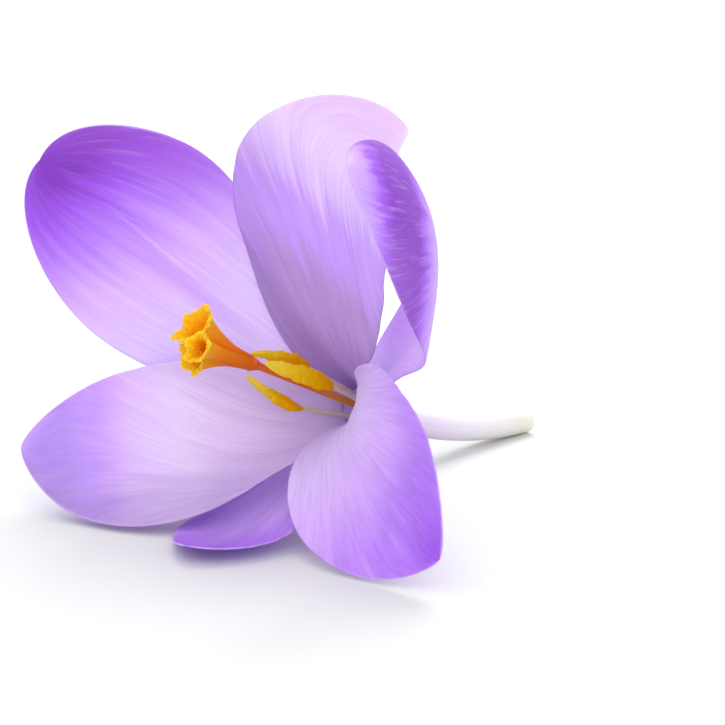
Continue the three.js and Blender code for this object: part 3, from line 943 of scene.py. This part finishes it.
stigmaLook = {
    "stops": [
        (0.0, (0.92, 0.24, 0.005)), (0.3, (1.0, 0.42, 0.008)),
        (0.7, (1.0, 0.58, 0.01)), (1.0, (1.0, 0.76, 0.03)),
    ],
    "grain": 2600, "bump": 0.5, "roughness": 0.5, "specular": 0.2, "through": 0.55,
}
stigmaThroatLook = {
    "stops": [
        (0.0, (0.94, 0.28, 0.005)), (0.45, (1.0, 0.48, 0.008)),
        (0.72, (1.0, 0.68, 0.02)), (1.0, (1.0, 0.86, 0.07)),
    ],
    "grain": 2600, "bump": 0.6, "roughness": 0.5, "specular": 0.2, "through": 0.55,
}
stigmaMaterials = [
    warmMaterial("stigmaInside", stigmaThroatLook),
    warmMaterial("stigmaOutside", stigmaLook),
]
for name, form in stigmaBranches.items():
    makeBranch(name, form, stigmaMaterials)
    print("made", name)

stamen = {
    "places": [130, 14, 250],
    "footHeight": -1.0,
    "footRadius": 1.16,
    "headHeight": 8.6,
    "headRadius": 2.7,
    "filamentRadius": 0.38,
    "filamentTaper": 0.35,
    "filamentRows": 30,
    "filamentColumns": 20,
    "filamentOverlap": 0.5,  # of the filament past the anther's foot
    "antherOverlap": 0.3,
    "tipHeight": 19.4,
    "tipRadius": 1.45,
    "bow": 0.5,
    "width": 0.98,
    "depth": 0.62,
    "groove": 0.45,
    "bluntness": 0.4,
    "twist": 0.35,
    "waist": 0.08,
    "lumpScale": 1.7,
    "lumpDepth": 0.13,
    "grainScale": 4.5,
    "grainDepth": 0.09,
    "rows": 110,
    "columns": 64,
}


def makeFilament(number, place, material):
    share = np.linspace(0, 1, stamen["filamentRows"] + 1)
    foot = bloomPoint(stamen["footHeight"], stamen["footRadius"], place)
    head = bloomPoint(stamen["headHeight"] + stamen["filamentOverlap"], stamen["headRadius"], place)
    points = foot + (head - foot) * share[:, None]
    ahead = np.repeat(unitRows(head - foot)[None, :], len(share), axis=0)
    radius = (stamen["filamentRadius"] * (1 - stamen["filamentTaper"] * share))[:, None]
    radius[0] = radius[-1] = 0
    angle = anglesRound(stamen["filamentColumns"])
    skin = ringSkin(points, ahead, outwardAt(place), radius * np.cos(angle), radius * np.sin(angle))
    roundPiece(f"filament_{number}_bloom", skin, material, f"filament_{number}")


def makeAnther(number, place, material):
    share = np.linspace(0, 1, stamen["rows"] + 1)
    foot = bloomPoint(stamen["headHeight"] + stamen["antherOverlap"], stamen["headRadius"], place)
    tip = bloomPoint(stamen["tipHeight"], stamen["tipRadius"], place)
    middle = (foot + tip) / 2 + outwardAt(place) * 2 * stamen["bow"]
    points, ahead = curvePoints((foot, middle, tip), share)
    fullness = np.sin(np.pi * share ** 0.8).clip(0)[:, None] ** stamen["bluntness"]
    angle = anglesRound(stamen["columns"])
    groove = 1 - stamen["groove"] * np.cos(angle) ** 6
    twist = stamen["twist"] * np.sin(share * 5 + number)[:, None]
    waist = 1 + stamen["waist"] * np.sin(share * 23 + number)[:, None]
    x = stamen["depth"] * groove * np.cos(angle) * fullness
    y = stamen["width"] * np.sin(angle) * fullness * waist
    turnedX = x * np.cos(twist) - y * np.sin(twist)
    turnedY = x * np.sin(twist) + y * np.cos(twist)
    skin = ringSkin(points, ahead, outwardAt(place), turnedX, turnedY)
    bumps = stamen["lumpDepth"] * roughness3d(skin, stamen["lumpScale"], number)
    bumps += stamen["grainDepth"] * roughness3d(skin, stamen["grainScale"], number + 9)
    bumps *= fullness
    bumps[:, -1] = bumps[:, 0]
    skin += surfaceNormals(skin, True) * bumps[..., None]
    roundPiece(f"anther_{number}_bloom", skin, material, f"anther_{number}")


filamentLook = {
    "stops": [(0.0, (0.86, 0.78, 0.80)), (0.6, (0.88, 0.82, 0.70)), (1.0, (0.90, 0.74, 0.36))],
    "grain": 2500, "bump": 0.3, "roughness": 0.45, "specular": 0.4, "through": 0.3,
}
antherLook = {
    "stops": [
        (0.0, (1.0, 0.58, 0.0)), (0.35, (1.0, 0.7, 0.0)),
        (0.6, (1.0, 0.8, 0.02)), (1.0, (1.0, 0.9, 0.1)),
    ],
    "grain": 4200, "bump": 0.7, "roughness": 0.8, "specular": 0.1, "through": 0.45,
}
filamentMaterial = warmMaterial("filamentSkin", filamentLook)
antherMaterial = warmMaterial("antherPollen", antherLook)
for number, place in enumerate(stamen["places"], start=1):
    makeFilament(number, place, filamentMaterial)
    makeAnther(number, place, antherMaterial)
print("made the stamens")

studio = {  # lengths are metres
    "floorSize": 3.0,
    "worldStrength": 1.16,
    "keyPower": 3.4,
    "keySize": 0.5,
    "keyPlace": (-0.25, 0.35, 0.55),
    "fillPower": 1.4,
    "fillSize": 0.6,
    "fillPlace": (0.45, -0.35, 0.4),
    "litPoint": (0, 0, 0.02),
    "floorColour": (0.61, 0.62, 0.61),
    "floorRoughness": 0.6,
    "floorSpecular": 0.2,
}


def makeFloor():
    bm = bmesh.new()
    bmesh.ops.create_grid(bm, x_segments=1, y_segments=1, size=studio["floorSize"])
    mesh = bpy.data.meshes.new("floor")
    bm.to_mesh(mesh)
    bm.free()
    floor = bpy.data.objects.new("floor", mesh)
    bpy.context.scene.collection.objects.link(floor)
    material, tree = newMaterial("floorPaper")
    shine = {"Specular IOR Level": studio["floorSpecular"]}
    finishMaterial(tree, studio["floorColour"], None, studio["floorRoughness"], shine)
    mesh.materials.append(material)


def makeLight(name, place, size, power):
    light = bpy.data.lights.new(name, "AREA")
    light.shape = "DISK"
    light.size = size
    light.energy = power
    lamp = bpy.data.objects.new(name, light)
    lamp.location = place
    aim = Vector(studio["litPoint"]) - Vector(place)
    lamp.rotation_euler = aim.to_track_quat("-Z", "Y").to_euler()
    bpy.context.scene.collection.objects.link(lamp)


def makeWorld():
    world = bpy.data.worlds.new("studio")
    world.use_nodes = True
    background = world.node_tree.nodes["Background"]
    background.inputs["Color"].default_value = (1.0, 1.0, 1.0, 1.0)
    background.inputs["Strength"].default_value = studio["worldStrength"]
    bpy.context.scene.world = world
    bpy.context.scene.view_settings.view_transform = "Standard"


cameraView = {
    "azimuth": 42.97,
    "elevation": 14.0,
    "distance": 420.0,
    "lens": 183.5,
    "sensor": 36,
    "sideStep": -0.111,  # of the point looked at from the throat, to the right
    "rise": 5.147,  # of the point looked at above the throat
}


def makeCamera():
    azimuth, elevation = (math.radians(cameraView[key]) for key in ("azimuth", "elevation"))
    back = Vector((
        math.sin(azimuth) * math.cos(elevation),
        -math.cos(azimuth) * math.cos(elevation),
        math.sin(elevation),
    ))
    right = Vector((math.cos(azimuth), math.sin(azimuth), 0))
    up = back.cross(right)
    target = Vector(throat) + right * cameraView["sideStep"] + up * cameraView["rise"]
    data = bpy.data.cameras.new("view")
    data.lens = cameraView["lens"]
    data.sensor_width = cameraView["sensor"]
    camera = bpy.data.objects.new("view", data)
    camera.location = (target + back * cameraView["distance"]) * mm
    camera.rotation_euler = back.to_track_quat("Z", "Y").to_euler()
    bpy.context.scene.collection.objects.link(camera)
    bpy.context.scene.camera = camera


makeFloor()
makeWorld()
makeLight("key", studio["keyPlace"], studio["keySize"], studio["keyPower"])
makeLight("fill", studio["fillPlace"], studio["fillSize"], studio["fillPower"])
makeCamera()
print("made the studio")
